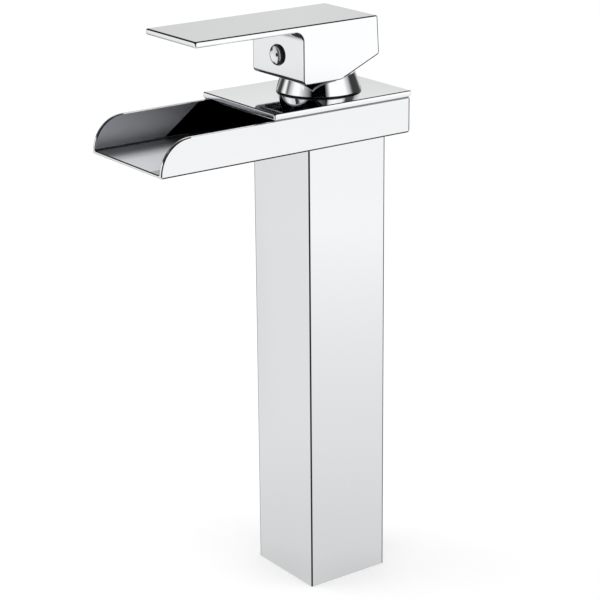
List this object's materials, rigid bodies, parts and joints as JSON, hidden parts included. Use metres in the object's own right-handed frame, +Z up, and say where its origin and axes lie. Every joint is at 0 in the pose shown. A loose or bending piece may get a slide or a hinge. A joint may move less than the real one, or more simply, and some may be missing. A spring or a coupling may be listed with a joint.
{
  "type": "basin faucet",
  "caption": "Tall square-column basin faucet with an open waterfall channel and a flat single lever that lifts and swivels.",
  "frame": {"origin": "centre of the square column's foot, on the deck", "axes": "+Z up, -Y towards the spout lip and lever tip, +X to the user's right when facing the faucet"},
  "size_m": [0.065, 0.1548, 0.3117],
  "materials": {
    "chrome": "polished",
    "chrome_dark": "polished",
    "brass": "machined",
    "steel": "brushed",
    "rubber": "matte",
    "white_plastic": "moulded",
    "grey_plastic": "moulded",
    "ceramic": "lapped"
  },
  "bodies": {
    "faucet": {"column_shell": "chrome", "base_block": "brass", "base_seal": "rubber", "hot_riser_tube": "brass", "cold_riser_tube": "brass", "riser_o_rings": "rubber", "tie_screws": "steel", "spout_trough": "chrome", "head_gasket": "rubber", "flow_baffle": "steel", "cover_plate": "chrome", "valve_body": "brass", "bonnet": "chrome", "bonnet_o_ring": "rubber", "cartridge_nut": "brass", "cartridge_housing": "white_plastic", "cartridge_base": "white_plastic", "cartridge_seals": "rubber", "fixed_ceramic_disc": "ceramic"},
    "turret": {"cartridge_turret": "grey_plastic", "pivot_pin": "steel"},
    "lever": {"lever_handle": "chrome", "lever_spindle": "steel", "handle_set_screw": "steel", "index_plug": "chrome_dark"},
    "mixer": {"moving_ceramic_disc": "ceramic", "disc_carrier": "grey_plastic"}
  },
  "joints": [
    {"name": "lever_swivel", "type": "hinge", "parent": "faucet", "child": "turret", "pos_m": [0, 0, 0.272], "axis": [0, 0, 1], "range_deg": [-45, 45]},
    {"name": "lever_lift", "type": "hinge", "parent": "turret", "child": "lever", "pos_m": [0, 0, 0.272], "axis": [-1, 0, 0], "range_deg": [0, 23]},
    {"name": "disc_slide", "type": "slide", "parent": "turret", "child": "mixer", "axis": [0, -1, 0], "range_m": [0, 0.00391]}
  ],
  "couplings": [
    {"joint": "disc_slide", "follows": "lever_lift", "m_per_rad": 0.009734}
  ]
}
